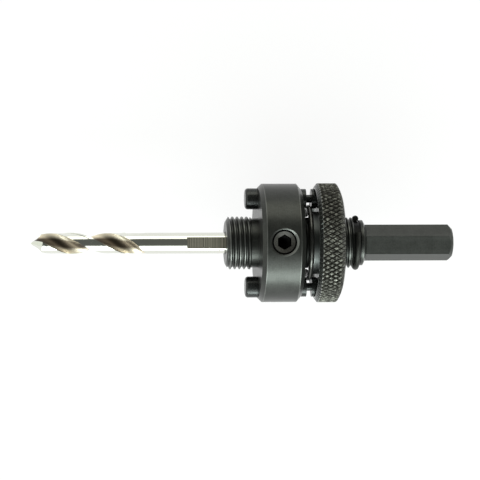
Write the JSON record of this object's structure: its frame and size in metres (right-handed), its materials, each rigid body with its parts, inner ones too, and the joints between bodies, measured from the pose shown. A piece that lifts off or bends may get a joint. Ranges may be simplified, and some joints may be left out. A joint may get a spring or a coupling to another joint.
{
  "type": "hole saw arbor",
  "caption": "Hole saw arbor with a threaded nose, central pilot drill, sliding drive pins through its flange, a knurled nut that moves the pins, and a hex shank.",
  "frame": {"origin": "on the arbor's axis, in the flange's front face where the saw's back plate seats", "axes": "-X along the axis to the drill's point, +X along the axis to the hex shank's end, +Z out through the set screw, the drive pins on the Y axis"},
  "size_m": [0.1277, 0.0358, 0.0358],
  "materials": {
    "mandrel": "black oxide on turned steel",
    "snap_ring": "blackened spring wire",
    "drive_pins": "black oxide, satin",
    "pin_clip": "blackened spring wire",
    "knurled_nut": "black oxide, diamond knurled rim",
    "pilot_drill": "bright ground, brownish flutes",
    "set_screw": "black oxide"
  },
  "bodies": {
    "mandrel": {"mandrel": "mandrel", "snap_ring": "snap_ring"},
    "drive_pins": {"drive_pin_1": "drive_pins", "drive_pin_2": "drive_pins", "pin_clip": "pin_clip"},
    "nut": {"knurled_nut": "knurled_nut"},
    "drill": {"pilot_drill": "pilot_drill"},
    "screw": {"set_screw": "set_screw"}
  },
  "joints": [
    {"name": "pins_slide", "type": "slide", "parent": "mandrel", "child": "drive_pins", "axis": [1, 0, 0], "range_m": [-0.00111, 0.00331]},
    {"name": "nut_turn", "type": "hinge", "parent": "drive_pins", "child": "nut", "pos_m": [0.0212, 0, 0], "axis": [1, 0, 0], "range_deg": [-316.8, 953.2]},
    {"name": "drill_slide", "type": "slide", "parent": "mandrel", "child": "drill", "axis": [1, 0, 0], "range_m": [-0.0035, 0.0015]},
    {"name": "screw_out", "type": "slide", "parent": "mandrel", "child": "screw", "axis": [0, 0, 1], "range_m": [0, 0.003]}
  ],
  "couplings": [
    {"joint": "pins_slide", "follows": "nut_turn", "m_per_rad": 0.00019894}
  ]
}
